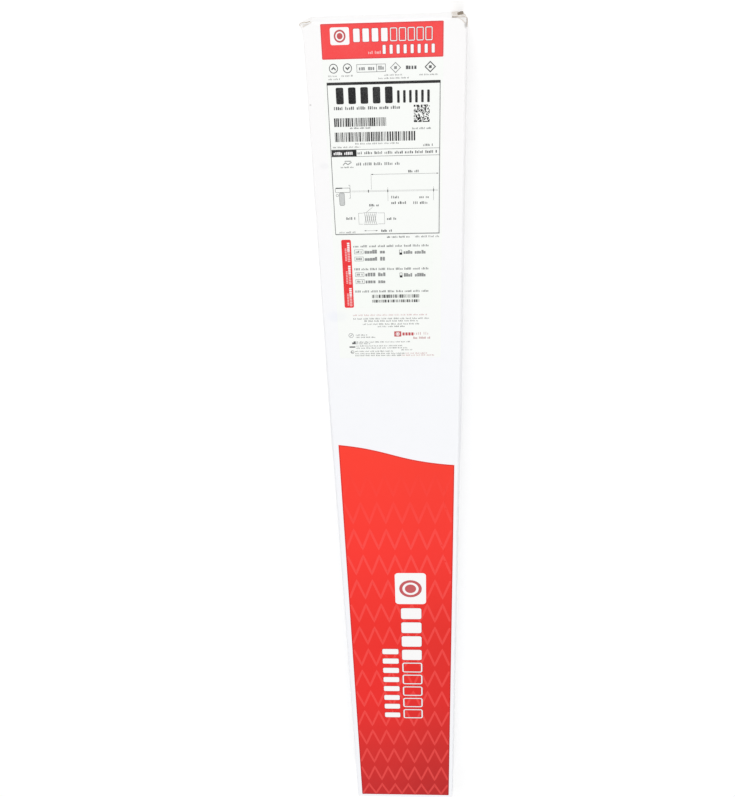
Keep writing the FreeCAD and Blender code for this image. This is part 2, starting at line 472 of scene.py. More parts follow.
class Surface:
    """Gathers grids, outlines and boxes in millimetres, and writes them as one mesh."""

    def __init__(self) -> None:
        """Starts with no points and no faces."""
        self.points: list[Array] = []
        self.faces: list[Array] = []
        self.slots: list[Array] = []
        self.raws: list[Array] = []
        self.grime_and_shade_values: list[Array] = []
        self.count = 0

    def _keep(self, points: Array, faces: Array, slot: int, raw: Any = 0.0, grime_and_shade: Any = 0.0) -> None:
        """Adds points (n, 3) and faces (m, corners) that index into them."""
        points = points.reshape(-1, 3)
        self.points.append(points)
        self.faces.append(faces + self.count)
        self.slots.append(np.full(len(faces), slot, np.int32))
        for kept, values in ((self.raws, raw), (self.grime_and_shade_values, grime_and_shade)):
            kept.append(np.broadcast_to(np.asarray(values, float).ravel(), (len(points),)))
        self.count += len(points)

    def grid(self, points: Array, slot: int = 0, closed: bool = False, flip: bool = False,
             raw: Any = 0.0, grime_and_shade: Any = 0.0) -> None:
        """Adds a surface over two parameters: a quad between each four neighbouring points.

        Args:
            points: Array of rows by columns by 3.
            slot: The material's number.
            closed: Joins the last column to the first.
            flip: Turns the faces over.
            raw: How much kraft fibre shows, for all or for each point.
            grime_and_shade: How much grime and painted shade show, for all or for each point.
        """
        rows, columns = points.shape[:2]
        index = np.arange(rows * columns).reshape(rows, columns)
        if closed:
            index = np.concatenate([index, index[:, :1]], axis=1)
        corners = [index[:-1, :-1], index[:-1, 1:], index[1:, 1:], index[1:, :-1]]
        faces = np.stack(corners, axis=-1).reshape(-1, 4)
        self._keep(points, faces[:, ::-1] if flip else faces, slot, raw, grime_and_shade)

    def outline(self, points: Array, slot: int = 0, raw: Any = 0.0, grime_and_shade: Any = 0.0) -> None:
        """Adds one face inside a closed run of points that lie in about one plane."""
        self._keep(points, np.arange(len(points))[None, :], slot, raw, grime_and_shade)

    def cells(self, corners: Array, slot: int = 0) -> None:
        """Adds many four-cornered faces at once, from an array of faces by 4 by 3."""
        self._keep(corners, np.arange(len(corners) * 4).reshape(-1, 4), slot)

    def write(self, name: str, materials: Sequence[bpy.types.Material], slot: str, sharp: float = 32.0,
              painted: bool = False) -> bpy.types.Object:
        """Writes the mesh in metres and lets it ride on the carton.

        Args:
            name: The piece's name.
            materials: The materials that the faces' slot numbers mean.
            slot: The name of a material slot; not used.
            sharp: Edges that turn more than this many degrees stay sharp.
            painted: Keeps the raw and soil values, of fibre and of grime and painted shade, with the points.

        Returns:
            The piece.
        """
        mesh = bpy.data.meshes.new(name)
        corners = np.concatenate([faces.ravel() for faces in self.faces]).astype(np.int32)
        sizes = np.concatenate([np.full(len(faces), faces.shape[1]) for faces in self.faces]).astype(np.int32)
        mesh.vertices.add(self.count)
        mesh.vertices.foreach_set("co", (np.concatenate(self.points) * METRE).astype(np.float32).ravel())
        mesh.loops.add(len(corners))
        mesh.loops.foreach_set("vertex_index", corners)
        mesh.polygons.add(len(sizes))
        mesh.polygons.foreach_set("loop_start", np.concatenate([[0], np.cumsum(sizes)[:-1]]).astype(np.int32))
        mesh.polygons.foreach_set("material_index", np.concatenate(self.slots))
        mesh.polygons.foreach_set("use_smooth", np.ones(len(sizes), bool))
        if painted:
            for label, values in (("raw", self.raws), ("grime_and_shade", self.grime_and_shade_values)):
                layer = mesh.attributes.new(label, "FLOAT", "POINT")
                layer.data.foreach_set("value", np.concatenate(values).astype(np.float32))
        mesh.update(calc_edges=True)
        mesh.validate()
        mesh.set_sharp_from_angle(angle=math.radians(sharp))
        for material in materials:
            mesh.materials.append(material)
        piece = bpy.data.objects.new(name, mesh)
        bpy.context.scene.collection.objects.link(piece)
        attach(piece, "root")
        LOG.info("%s: %d faces", name, len(sizes))
        return piece


@dataclass(frozen=True)
class CartonSizes:
    """The carton's outside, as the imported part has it."""

    width: float = 135.0
    length: float = 1010.0
    depth: float = 50.0
    board: float = 0.6
    fold: float = 1.4

    @property
    def side(self) -> float:
        """Half the width."""
        return self.width / 2

    @property
    def end(self) -> float:
        """Half the length."""
        return self.length / 2


SIZES = CartonSizes()


@dataclass(frozen=True)
class Plane:
    """A flat place that print lies on: its top left corner, its turn in degrees and its height."""

    left: float
    top: float
    turn: float
    height: float

    def lift(self, flat: Array, layer: float) -> Array:
        """Carries points from the plane to the part's frame.

        The plane's first axis runs right and its second runs down the carton, so a point is the corner
        plus right times the first number minus up times the second, both turned by the label's angle.

        Args:
            flat: Points with a last axis of 2.
            layer: How far above the plane the ink lies.

        Returns:
            The points with a last axis of 3.
        """
        angle = math.radians(self.turn)
        across, down = flat[..., 0], flat[..., 1]
        x = self.left + across * math.cos(angle) + down * math.sin(angle)
        y = self.top + across * math.sin(angle) - down * math.cos(angle)
        return np.stack([x, y, self.height + layer - MARKS.sink(x, y)], axis=-1)


FACE = Plane(left=-SIZES.side, top=SIZES.end, turn=0.0, height=SIZES.depth)
LABEL = Plane(left=-SIZES.side + 14.6, top=SIZES.end - 1.2, turn=-0.2, height=SIZES.depth + 0.2)
RECORD = Plane(LABEL.left, LABEL.top, LABEL.turn, height=SIZES.depth + 0.3)
INK_STEP = 0.02


class Press:
    """Prints plain shapes in named inks on one plane, as one mesh."""

    def __init__(self, plane: Plane, seed: int = 1) -> None:
        """Starts a print on a plane, with its own seeded numbers for texture."""
        self.plane = plane
        self.surface = Surface()
        self.inks: list[Ink] = []
        self.dice = np.random.default_rng(seed)

    def slot(self, ink: Ink) -> int:
        """The ink's material number in this print."""
        if ink not in self.inks:
            self.inks.append(ink)
        return self.inks.index(ink)

    def shape(self, ink: Ink, flat: Flat, layer: int = 1) -> None:
        """Prints one filled convex outline."""
        flat = np.asarray(flat, float)
        turn = np.sum(flat[:, 0] * np.roll(flat[:, 1], -1) - np.roll(flat[:, 0], -1) * flat[:, 1])
        flat = flat if turn < 0 else flat[::-1]
        self.surface.outline(self.plane.lift(flat, layer * INK_STEP), self.slot(ink))

    def blocks(self, ink: Ink, boxes: Flat, layer: int = 1) -> None:
        """Prints many upright boxes at once, from rows of left, top, right and bottom."""
        boxes = np.asarray(boxes, float).reshape(-1, 4)
        corners = boxes[:, [[0, 3], [2, 3], [2, 1], [0, 1]]]
        self.surface.cells(self.plane.lift(corners, layer * INK_STEP), self.slot(ink))

    def rounded(self, ink: Ink, box: Box, radius: float, layer: int = 1, steps: int = 5) -> None:
        """Prints a rounded box: four corner arcs joined by straight sides."""
        self.shape(ink, rounded_loop(box, radius, steps), layer)

    def stroke(self, ink: Ink, path: Flat, width: float, layer: int = 1, closed: bool = False) -> None:
        """Prints a line of even width along a path, mitred at its corners.

        Each point moves half the width along the mean of its two neighbours' normals, lengthened by one
        over the cosine of half the turn, to either side.
        """
        path = np.asarray(path, float)
        ahead = np.roll(path, -1, axis=0) - path
        if not closed:
            ahead[-1] = ahead[-2]
        behind = np.roll(ahead, 1, axis=0)
        if not closed:
            behind[0] = ahead[0]
        normals = []
        for step in (behind, ahead):
            unit = step / np.linalg.norm(step, axis=1, keepdims=True)
            normals.append(np.stack([-unit[:, 1], unit[:, 0]], axis=1))
        mitre = normals[0] + normals[1]
        mitre /= np.maximum(np.sum(mitre * normals[0], axis=1, keepdims=True), 0.35)
        sides = np.stack([path + mitre * width / 2, path - mitre * width / 2])
        self.surface.grid(self.plane.lift(sides, layer * INK_STEP), self.slot(ink), closed=closed)

    def frame(self, ink: Ink, box: Box, width: float, radius: float = 0.01, layer: int = 1) -> None:
        """Prints the outline of a box, its line lying inside the box."""
        left, top, right, bottom = box
        inset = width / 2
        inner = (left + inset, top + inset, right - inset, bottom - inset)
        self.stroke(ink, rounded_loop(inner, radius, 4), width, layer, closed=True)

    def ring(self, ink: Ink, centre: Sequence[float], radius: float, width: float, layer: int = 1) -> None:
        """Prints a circle's line."""
        self.stroke(ink, circle(centre, radius - width / 2), width, layer, closed=True)

    def tile(self, ground: Ink, ink: Ink, box: Box, corner: float, radius: float, layer: int) -> None:
        """Prints a tile with a plain mark in its middle: a disc with a ring of the ground's ink in it."""
        left, top, right, bottom = box
        centre = ((left + right) / 2, (top + bottom) / 2)
        self.rounded(ground, box, corner, layer)
        self.shape(ink, circle(centre, radius), layer + 1)
        self.ring(ground, centre, radius * 0.72, radius * 0.22, layer + 2)

    def lines(self, ink: Ink, bold: float, *boxes: Box) -> None:
        """Prints a line of dummy type in each box."""
        for box in boxes:
            self.dummy(ink, box, bold)

    def dummy(self, ink: Ink, box: Box, bold: float, layer: int = 1) -> None:
        """Prints a line of dummy type: upright ticks of uneven height in groups, which spell nothing.

        A tick's pitch is 0.62 of the line's height, bold sets how much of the pitch it fills, and about
        every sixth tick is left out for a word gap.
        """
        left, top, right, bottom = box
        high = bottom - top
        count = max(int(round((right - left) / (high * 0.62))), 1)
        pitch = (right - left) / count
        start = left + pitch * np.arange(count)
        tall = self.dice.choice([0.0, 0.0, 0.24, 0.3], count) * high
        wide = pitch * np.clip(bold + self.dice.uniform(-0.12, 0.2, count), 0.2, 0.92)
        keep = np.ones(count, bool)
        keep[int(self.dice.integers(3, 6))::6] = False
        rows = np.stack([start, top + tall, start + wide, np.full(count, bottom)], axis=1)
        self.blocks(ink, rows[keep], layer)

    def bars(self, ink: Ink, box: Box, modules: int) -> None:
        """Prints upright bars of one to three modules, drawn by seeded chance, which encode nothing."""
        left, top, right, bottom = box
        wide = self.dice.choice([1, 1, 2, 3], modules)
        gap = self.dice.choice([1, 1, 2, 2], modules)
        start = np.concatenate([[0], np.cumsum(wide + gap)[:-1]]).astype(float)
        scale = (right - left) / (start[-1] + wide[-1])
        rows = np.stack([left + start * scale, np.full(modules, top), left + (start + wide) * scale,
                         np.full(modules, bottom)], axis=1)
        self.blocks(ink, rows)

    def checks(self, ink: Ink, box: Box, count: int, share: float) -> None:
        """Prints a square of small cells, of which a seeded share is inked, which encode nothing."""
        left, top, right, bottom = box
        cell_x, cell_y = (right - left) / count, (bottom - top) / count
        row, column = np.nonzero(self.dice.random((count, count)) < share)
        rows = np.stack([left + column * cell_x, top + row * cell_y, left + (column + 1) * cell_x,
                         top + (row + 1) * cell_y], axis=1)
        self.blocks(ink, rows)

    def write(self, name: str, shelf: Shelf, slot: str) -> bpy.types.Object:
        """Writes the print as one piece."""
        return self.surface.write(name, [shelf.take(ink.value) for ink in self.inks], slot)


def circle(centre: Sequence[float], radius: float, steps: int = 32) -> Array:
    """Points evenly round a circle: the centre plus the radius times cosine and sine."""
    turn = np.linspace(0.0, 2 * math.pi, steps, endpoint=False)
    return np.stack([centre[0] + radius * np.cos(turn), centre[1] + radius * np.sin(turn)], axis=1)


def rounded_loop(box: Box, radius: float, steps: int) -> Array:
    """A closed run round a box whose four corners are quarter circles of so many points.

    Args:
        box: The box's left, top, right and bottom.
        radius: The corner radius.
        steps: Points in each quarter circle.

    Returns:
        Points with a last axis of 2.
    """
    left, top, right, bottom = box
    quarter = np.linspace(0.0, math.pi / 2, steps)
    centres = [(right - radius, bottom - radius), (left + radius, bottom - radius),
               (left + radius, top + radius), (right - radius, top + radius)]
    arcs = []
    for number, (x, y) in enumerate(centres):
        turn = quarter + number * math.pi / 2
        arcs.append(np.stack([x + radius * np.cos(turn), y + radius * np.sin(turn)], axis=1))
    return np.concatenate(arcs)


def bezier(controls: Sequence[Sequence[float]], steps: int) -> Array:
    """A cubic curve by four control points: the Bernstein sum of degree three."""
    share = np.linspace(0.0, 1.0, steps)[:, None]
    first, second, third, fourth = (np.array(point, float) for point in controls)
    return ((1 - share) ** 3 * first + 3 * (1 - share) ** 2 * share * second
            + 3 * (1 - share) * share ** 2 * third + share ** 3 * fourth)


# The carton


@dataclass(frozen=True)
class PressMarks:
    """Where the printed face was pressed, with each size in the part's frame.

    One long shallow crease runs near the right edge of the red panel. One soft dent lies at the face's
    right edge.
    """

    crease: float = 52.4
    crease_bells: tuple[tuple[float, float], ...] = ((0.12, 2.4), (0.06, 0.7))
    crease_top: float = 62.0
    crease_foot: float = -84.0
    crease_fade: float = 20.0
    dent: tuple[float, float] = (62.0, 75.0)
    dent_half: tuple[float, float] = (6.0, 9.0)
    dent_depth: float = 0.3
    dent_edge: float = 66.1
    dent_fade: float = 3.0

    def sink(self, x: Array, y: Array) -> Array:
        """How far the face sinks at a place, in millimetres below flat.

        The crease is a wide and a narrow bell curve across, each of one depth and width, and fades in
        and out along its ends. The dent is a bell curve both ways, which ends at the fold.
        """
        across = x - self.crease
        crease = sum(deep * np.exp(-(across / wide) ** 2) for deep, wide in self.crease_bells)
        crease = crease * np.clip((self.crease_top - y) / self.crease_fade, 0.0, 1.0)
        crease = crease * np.clip((y - self.crease_foot) / self.crease_fade, 0.0, 1.0)
        across, along = (x - self.dent[0]) / self.dent_half[0], (y - self.dent[1]) / self.dent_half[1]
        dent = self.dent_depth * np.exp(-across ** 2 - along ** 2)
        return crease + dent * np.clip((self.dent_edge - x) / self.dent_fade, 0.0, 1.0)

    def columns(self, left: float, right: float, count: int) -> Array:
        """Shares from 0 to 1 across a width, even, with a few more close to the crease."""
        crease = (self.crease + np.arange(-1.8, 1.9, 0.45) - left) / (right - left)
        return np.unique(np.concatenate([np.linspace(0.0, 1.0, count), crease]))


MARKS = PressMarks()


def circle_through(points: Flat) -> tuple[Array, float]:
    """The circle through three points: its centre is as far from each of them.

    Returns:
        The centre and the radius.
    """
    a, b, c = np.array(points, float)
    sides = 2 * np.array([b - a, c - a])
    centre = np.linalg.solve(sides, np.array([b @ b - a @ a, c @ c - a @ a]))
    return centre, float(np.linalg.norm(a - centre))


@dataclass
class CartonShell:
    """The folded, glued and closed board: tube, front panel with its end flaps, back flaps, corners.

    The rows of the two rims are what _strip takes.
    """

    swell_from_end: tuple[float, ...] = (0.0, 190.0, 425.0, 440.0, 1010.0)
    swell: tuple[float, ...] = (1.8, 2.5, 3.6, 2.9, 2.0)
    dent_top: float = 80.0
    dent_foot: float = 65.0
    flap_setback_left: float = 9.0
    flap_setback_right: float = 11.0
    flap_taper: float = 4.0
    flap_foot: float = 8.0
    back_flap_setback: float = 5.0
    back_flap_taper: float = 3.0
    back_flap_height: float = 40.0
    left_cut_width: float = 8.2
    left_cut_start: float = 0.6
    left_cut_length: float = 3.8
    left_cut_least: float = 4.0
    right_cut_start: tuple[float, float] = (11.0, 0.5)
    right_cut_shoulder: tuple[float, float] = (2.6, 2.7)
    right_cut_length: float = 8.0
    rim_drop: float = 0.2
    bared: float = 0.6
    bared_from: float = 56.0
    lid_drop: float = 0.7
    # Tan along the front panel's cut edges near the labelled end: partly the raw board of the cut, partly
    # painted shade where the edge lies over the layer below.
    edge_fibre_and_shade: float = 0.7
    edge_fibre_and_shade_length: float = 4.5
    seam_fibre: float = 0.8
    cut_fibre: float = 0.04
    flare: float = 2.0
    flare_length: float = 18.0
    spring: float = 0.9
    spring_from: float = 46.0
    spring_width: float = 18.0
    spring_height: float = 42.0
    columns: int = 81
    flap_columns: int = 101
    # Rows of each rim: x, y, the top's and the foot's z, fibre on the faces, fibre on the top edge, and the
    # top edge's dark brown: grime on the raw edge and painted shade of the gaps beside it, darkest at the
    # right rim's first rows.
    right_rim: tuple[tuple[float, ...], ...] = (
        (55.4, 505.5, 49.7, 41.0, 0.45, 1.0, 0.8), (57.0, 505.6, 49.8, 41.0, 0.45, 0.9, 0.3),
        (61.0, 505.6, 49.8, 41.0, 0.45, 0.7, 0.0), (65.0, 505.5, 49.8, 43.0, 0.4, 0.7, 0.0),
        (67.0, 505.0, 49.7, 46.0, 0.1, 0.8, 0.1), (67.6, 503.9, 49.6, 48.0, 0.1, 1.0, 0.12),
        (67.8, 501.5, 49.5, 48.4, 0.1, 1.0, 0.12), (67.7, 497.7, 49.1, 48.4, 0.1, 0.6, 0.0))
    left_rim: tuple[tuple[float, ...], ...] = (
        (-69.5, 502.2, 49.0, 47.4, 0.2, 0.5, 0.0), (-70.1, 503.4, 49.3, 47.7, 0.2, 0.6, 0.0),
        (-69.4, 504.4, 49.5, 47.9, 0.2, 0.6, 0.0), (-67.6, 504.9, 49.7, 48.1, 0.2, 0.8, 0.0),
        (-64.3, 505.0, 49.8, 48.2, 0.2, 1.0, 0.05), (-61.0, 505.6, 49.8, 48.2, 0.2, 1.0, 0.25))
    # Outline of the dark plug at the labelled end's right foot, painted as the shade inside the opening.
    shade_slot_outline: tuple[tuple[float, float], ...] = (
        (60.8, 20.0), (63.5, 16.0), (66.2, 12.0), (66.3, 3.0), (64.6, 2.6), (62.0, 8.5), (60.8, 12.0))
    seam_inset: float = 4.0
    seam_width: float = 0.8
    seam_depth: float = 0.5
    finish: BoardFinish = BoardFinish(
        "coated_board", 0.5, 0.25,
        spots=(Spot((-65.6, 440.8, 50.0), (1.6, 1.6, 3.0), tone(170, 168, 166), 0.5),
               Spot((-57.0, 389.0, 50.0), (8.0, 6.0, 3.0), tone(232, 232, 236), 0.3),
               Spot((-56.0, 244.0, 50.0), (14.0, 11.0, 3.0), tone(236, 239, 249), 0.45),
               # A grey patch of painted shade where the front panel's right corner lifts.
               Spot((66.8, 499.3, 50.0), (2.8, 4.2, 3.0), tone(178, 175, 172), 0.7)))
    surface: Surface = field(default_factory=Surface)

    def _inset(self, y: Array) -> Array:
        """How far the side faces have turned in at y: a quarter circle at each end of the tube."""
        end = SIZES.end - 2 * SIZES.board
        turned = np.clip((np.abs(y) - (end - SIZES.fold)) / SIZES.fold, 0.0, 1.0)
        return SIZES.fold * (1 - np.sqrt(1 - turned ** 2))

    def _flare(self, x: Array, y: Array) -> Array:
        """How far the left side stands out just before the labelled end, where its corner has opened."""
        near = np.clip((y - SIZES.end + self.flare_length) / self.flare_length, 0.0, 1.0)
        return self.flare * near ** 2 * np.clip(-x / SIZES.side, 0.0, 1.0)

    def _spring(self, x: Array, y: Array, z: Array) -> Array:
        """How far the flaps of the labelled end stand off at their right foot, where it has sprung open."""
        across = np.clip((x - self.spring_from) / self.spring_width, 0.0, 1.0)
        turned = np.clip((y - SIZES.end + 1.5 * SIZES.fold) / 1.5, 0.0, 1.0)
        return self.spring * across * turned * np.clip(1.0 - z / self.spring_height, 0.0, 1.0)

    def _stations(self) -> Array:
        """Places along the carton, close together at the turned ends, the cut corners and the dent."""
        end = SIZES.end - 2 * SIZES.board
        turn = np.sin(np.radians(np.linspace(90.0, 0.0, 9)))
        near = end - SIZES.fold * (1 - turn)
        left_cut = SIZES.end - self.left_cut_length
        right_cut = SIZES.end - self.right_cut_length
        cuts = np.array([left_cut, left_cut - 0.02, right_cut, right_cut - 0.02])
        dent = np.arange(self.dent_top + 6.0, self.dent_foot - 6.0, -1.0)
        runs = [near, np.arange(502.0, 490.0, -0.5), cuts, np.arange(490.0, 90.0, -5.0), dent,
                np.arange(55.0, -500.0, -5.0), -near]
        return np.unique(np.concatenate(runs))[::-1]

    def _right_side(self, y: Array) -> tuple[Array, Array]:
        """The right side of the section, from the fold under the front panel down to the rest face.

        It is a quarter circle at each fold, and between them a side face crowned as a parabola over
        its height.

        Args:
            y: The stations, one a row.

        Returns:
            The points' x and z, a row for each station.
        """
        fold, depth = SIZES.fold, SIZES.depth
        side = SIZES.side - self._inset(y)
        swell = np.interp(SIZES.end - y, self.swell_from_end, self.swell)
        turn = np.linspace(math.pi / 2, 0.0, 7)[None, :]
        rise = np.linspace(1.0, -1.0, 19)[None, :]
        crown_x = side + swell * (1 - rise ** 2)
        crown_z = np.broadcast_to(depth / 2 + rise * (depth / 2 - fold), crown_x.shape)
        top_x, top_z = side - fold + fold * np.cos(turn), depth - fold + fold * np.sin(turn) + 0 * side
        foot_x, foot_z = top_x[:, ::-1], fold - fold * np.sin(turn[:, ::-1]) + 0 * side
        return (np.concatenate([top_x[:, :-1], crown_x, foot_x[:, 1:]], axis=1),
                np.concatenate([top_z[:, :-1], crown_z, foot_z[:, 1:]], axis=1))

    def tube(self) -> None:
        """Adds the side faces, the rest face and the lid under the front panel, and closes both ends.

        At each station the section runs down the right side, across the flat rest face with the narrow
        step of the glued seam, up the left side and back under the front panel.
        """
        depth, flat = SIZES.depth, SIZES.side - SIZES.fold
        y = self._stations()[:, None]
        right_x, right_z = self._right_side(y)
        seam = -SIZES.side + self.seam_inset
        # The columns lie close together where the raw board shows, at the right of the labelled end
        even = np.concatenate([np.arange(self.bared_from, 64.0, 1.5)[::-1], np.linspace(46.0, -60.0, 10)])
        across = np.concatenate([even, [seam + self.seam_width] * 2, [seam] * 2])
        sunk = np.concatenate([np.zeros(len(even) + 1), [self.seam_depth] * 2, [0.0]])
        under = np.concatenate([[flat], even[1:], np.linspace(-61.5, -flat, 4)])
        narrow = (SIZES.side - self._inset(y) - SIZES.fold) / flat
        rest_x, lid_x = across * narrow, under[::-1] * narrow
        rest_z = np.broadcast_to(sunk[None, :], rest_x.shape)
        x = np.concatenate([right_x, rest_x, -right_x[:, ::-1], lid_x], axis=1)
        lid_z = np.full_like(lid_x, depth - self.lid_drop)
        z = np.concatenate([right_z, rest_z, right_z[:, ::-1], lid_z], axis=1)
        left_low = (y > SIZES.end - self.left_cut_length - 0.01) & (x < 0)
        right_low = (y > SIZES.end - self.right_cut_length - 0.01) & (x > 0)
        z = np.where(left_low, np.minimum(z, depth - SIZES.board), z)
        z = np.where(right_low, np.minimum(z, depth - self.rim_drop), z)
        x = x - self._flare(x, y)
        raw = np.zeros_like(x)
        height = right_x.shape[1]
        first = height + len(even)
        raw[:, first + 1:first + 3] = self.seam_fibre
        points = np.stack([x, np.broadcast_to(y, x.shape), z], axis=-1)
        self.surface.grid(points, closed=True, flip=True, raw=raw)
        self._close_ends(points, height + int(np.argmin(np.abs(even - self.bared_from))), height)

    def _close_ends(self, points: Array, foot_cut: int, height: int) -> None:
        """Closes each end of the tube with two faces, of which the right one is bared at the labelled end.

        Args:
            points: The tube's points, stations by section by 3.
            foot_cut: The column on the rest face where the two faces meet.
            height: How many columns the right side has.
        """
        head_cut = points.shape[1] - 1 - (foot_cut - height)
        for loop, bared, hand in ((points[0], self.bared, 1), (points[-1], self.cut_fibre, -1)):
            self.surface.outline(np.concatenate([loop[head_cut:], loop[:foot_cut + 1]])[::hand], raw=bared)
            self.surface.outline(loop[foot_cut:head_cut + 1][::hand], raw=self.cut_fibre)

    def sheet(self, path: Array, facing: Array, left: Array, right: Array, columns: int, raw: Any = 0.0,
              sunk: bool = False) -> None:
        """Adds a folded sheet of board: a profile carried along a path.

        Each row runs straight across from left to right at its place on the path. The inside is the
        outside moved one board back along the path's normal, and four walls of raw board join them.

        Args:
            path: Rows of y and z.
            facing: Rows of the outward normal's y and z.
            left: The left edge's x, row by row.
            right: The right edge's x, row by row.
            columns: Points across.
            raw: How much fibre shows on the outside.
            sunk: Lets the press marks lower the outside where it faces up.
        """
        share = np.linspace(0.0, 1.0, columns)[None, :]
        if sunk:
            share = MARKS.columns(-SIZES.side, SIZES.side, columns)[None, :]
        x = left[:, None] + share * (right - left)[:, None]
        x = x - self._flare(x, path[:, :1])
        z = np.broadcast_to(path[:, 1:], x.shape)
        y = path[:, :1] + self._spring(x, path[:, :1], z)
        if sunk:
            z = z - MARKS.sink(x, y) * (facing[:, 1:] > 0.99)
        outside = np.stack([x, y, z], axis=-1)
        back = np.stack([np.zeros_like(x), np.broadcast_to(facing[:, :1], x.shape),
                         np.broadcast_to(facing[:, 1:], x.shape)], axis=-1)
        inside = outside - SIZES.board * back
        self.surface.grid(outside, raw=raw)
        self.surface.grid(inside, flip=True, raw=0.9)
        for edge, inner, flip in ((outside[:, 0], inside[:, 0], False), (outside[:, -1], inside[:, -1], True),
                                  (outside[0], inside[0], True), (outside[-1], inside[-1], False)):
            self.surface.grid(np.stack([edge, inner]), flip=flip, raw=1.0)

    def _turn(self, outer_y: float, face_z: float, up: float, steps: int = 8) -> tuple[Array, Array]:
        """A quarter circle from the end plane to the face plane, as a path and its normals."""
        angle = np.linspace(0.0, math.pi / 2, steps)
        radius = SIZES.fold
        hand = math.copysign(1.0, outer_y)
        y = outer_y - hand * radius * (1 - np.cos(angle))
        z = face_z - up * radius * (1 - np.sin(angle))
        return np.stack([y, z], axis=1), np.stack([hand * np.cos(angle), up * np.sin(angle)], axis=1)

    def _front_path(self) -> tuple[Array, Array, int]:
        """The front panel's path: up one end flap, along the face and down the other.

        Returns:
            Rows of y and z, rows of the outward normal, and how many rows a flap has.
        """
        depth, end = SIZES.depth, SIZES.end
        flap_z = np.linspace(self.flap_foot, depth - SIZES.fold, 9)[:-1]
        flap = np.stack([np.full_like(flap_z, end), flap_z], axis=1)
        flap_facing = np.broadcast_to([1.0, 0.0], flap.shape)
        arc, arc_facing = self._turn(end, depth, 1.0)
        stations = self._stations()
        stations = stations[np.abs(stations) < end - SIZES.fold - 0.05]
        top = np.stack([stations, np.full_like(stations, depth)], axis=1)
        top_facing = np.broadcast_to([0.0, 1.0], top.shape)
        far = np.array([-1.0, 1.0])
        edge = np.array([[-end + SIZES.fold + 0.02, depth]])
        path = np.concatenate([flap, arc, top, edge, arc[::-1] * far, flap[::-1] * far])
        facing = np.concatenate([flap_facing, arc_facing, top_facing, [[0.0, 1.0]], arc_facing[::-1] * far,
                                 flap_facing[::-1] * far])
        return path, facing, len(flap)

    def front(self) -> None:
        """Adds the printed front panel with its two glued end flaps as one sheet.

        Its left corner is cut straight and its right one along a circle, and both flaps taper.
        """
        depth, end, side = SIZES.depth, SIZES.end, SIZES.side
        path, facing, flap_count = self._front_path()
        y, z = path[:, 0], path[:, 1]
        narrow = self.flap_taper * np.clip((depth - z) / (depth - self.flap_foot), 0.0, 1.0)
        fold_line = side - SIZES.fold - self._inset(y)
        cut_left = np.interp(y, [end - self.left_cut_length, end - self.left_cut_start],
                             [side, side - self.left_cut_width])
        centre, radius = circle_through([(side - across, end - along) for across, along in (
            self.right_cut_start, self.right_cut_shoulder, (0.0, self.right_cut_length))])
        cut_right = centre[0] + np.sqrt(np.maximum(radius ** 2 - (y - centre[1]) ** 2, 0.0))
        cut_right = np.where(y > end - self.right_cut_length, cut_right, side)
        flap_rows = (np.arange(len(y)) < flap_count) | (y < -end + SIZES.fold + 0.01)
        flap_left = side - self.flap_setback_left - narrow
        flap_right = side - self.flap_setback_right - narrow
        left = np.where(flap_rows, flap_left, np.minimum(fold_line, cut_left))
        right = np.where(flap_rows, flap_right, np.minimum(fold_line, cut_right))
        curved = (y > end - SIZES.fold - 0.01) & ~flap_rows
        left = np.where(curved, np.minimum(cut_left, side - self.left_cut_least), left)
        left = np.where(curved, np.maximum(left, flap_left), left)
        right = np.where(curved, np.maximum(cut_right, flap_right), right)
        right = np.where(curved & (y > end - self.right_cut_start[1]), flap_right, right)
        # The tan along the cut edges: partly raw board, partly painted shade of the edge over the layer
        # below.
        edge_fibre_and_shade = np.zeros((len(y), len(MARKS.columns(-side, side, self.columns))))
        edge_fibre_and_shade[(y > end - self.left_cut_length) & ~flap_rows, 0] = self.edge_fibre_and_shade
        edge_fibre_and_shade[(y > end - self.edge_fibre_and_shade_length) & ~flap_rows, -1] = self.edge_fibre_and_shade
        self.sheet(path[::-1], facing[::-1], -left[::-1], right[::-1], self.columns, edge_fibre_and_shade[::-1], sunk=True)

    def back_flaps(self) -> None:
        """Adds the flap of the rest face at each end, folded up under the front one."""
        for hand in (1.0, -1.0):
            outer = hand * (SIZES.end - SIZES.board)
            arc, arc_facing = self._turn(outer, 0.0, -1.0)
            rise = np.linspace(SIZES.fold, self.back_flap_height, 8)[1:]
            path = np.concatenate([arc[::-1], np.stack([np.full_like(rise, outer), rise], axis=1)])
            facing = np.concatenate([arc_facing[::-1], np.broadcast_to([hand, 0.0], (len(rise), 2))])
            narrow = self.back_flap_taper * path[:, 1] / self.back_flap_height
            edge = SIZES.side - self.back_flap_setback - narrow
            share = np.linspace(0.0, 1.0, self.flap_columns)[None, :]
            across = -edge[:, None] + share * 2 * edge[:, None]
            kraft = np.clip((across - 55.8) / 0.8, 0.0, 1.0) * (1.0 if hand > 0 else 0.0)
            if hand > 0:
                path, facing, edge, kraft = path[::-1], facing[::-1], edge[::-1], kraft[::-1]
            self.sheet(path, facing, -edge, edge, self.flap_columns, raw=kraft * self.bared)

    def corners(self) -> None:
        """Adds what the two cut corners lay bare: the layer below and its raw edges."""
        depth, end, side = SIZES.depth, SIZES.end, SIZES.side
        for left, right, start, reach, raw in ((-side - 0.4, -55.0, 500.9, end - 2 * SIZES.board, 0.24),
                                               (54.0, side - SIZES.fold + 0.6, 495.0, end, 0.05)):
            y = np.linspace(start, reach, 7)
            path = np.stack([y, np.full_like(y, depth - SIZES.board - 0.01)], axis=1)
            facing = np.broadcast_to([0.0, 1.0], path.shape)
            self.sheet(path, facing, np.full_like(y, left), np.full_like(y, right), 2, raw=raw)
        self._strip(self.right_rim)
        self._strip(self.left_rim)

